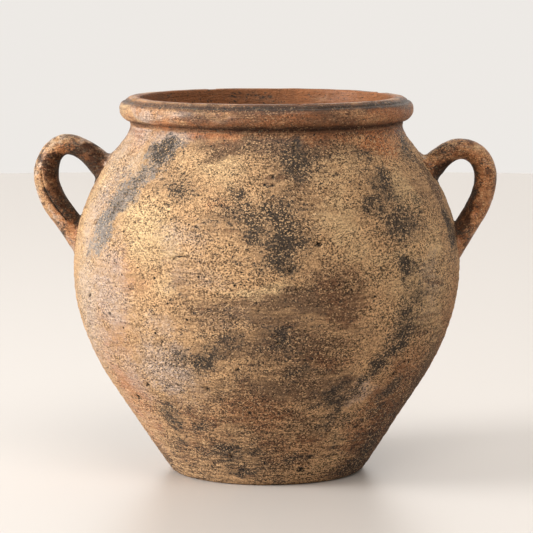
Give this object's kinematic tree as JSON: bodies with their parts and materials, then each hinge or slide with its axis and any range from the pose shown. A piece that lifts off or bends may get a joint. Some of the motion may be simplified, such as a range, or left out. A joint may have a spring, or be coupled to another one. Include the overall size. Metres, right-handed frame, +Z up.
{
  "type": "terracotta vase",
  "caption": "Round-bellied terracotta jar with a rolled rim, narrow flat foot and loop handles at the shoulder, for standing flowers or branches in.",
  "frame": {"origin": "centre of the foot, on the surface the vase stands on", "axes": "+Z up along the axis of the thrown body, +X through the right handle, -Y towards the viewer of the picture"},
  "size_m": [0.3354, 0.28, 0.272],
  "materials": {
    "base_clay": "matte, gritty, unglazed",
    "wall_clay": "matte, sandy slip worn through to dark clay",
    "rim_clay": "smoothed, matte to satin",
    "handle_clay": "smoothed by hand, low satin"
  },
  "bodies": {
    "root": {"base_slab": "base_clay", "lower_wall": "wall_clay", "upper_wall": "wall_clay", "neck_collar": "rim_clay", "rim_roll": "rim_clay", "left_handle": "handle_clay", "left_handle_upper_root": "handle_clay", "left_handle_lower_root": "handle_clay", "right_handle": "handle_clay", "right_handle_upper_root": "handle_clay", "right_handle_lower_root": "handle_clay"}
  },
  "joints": []
}
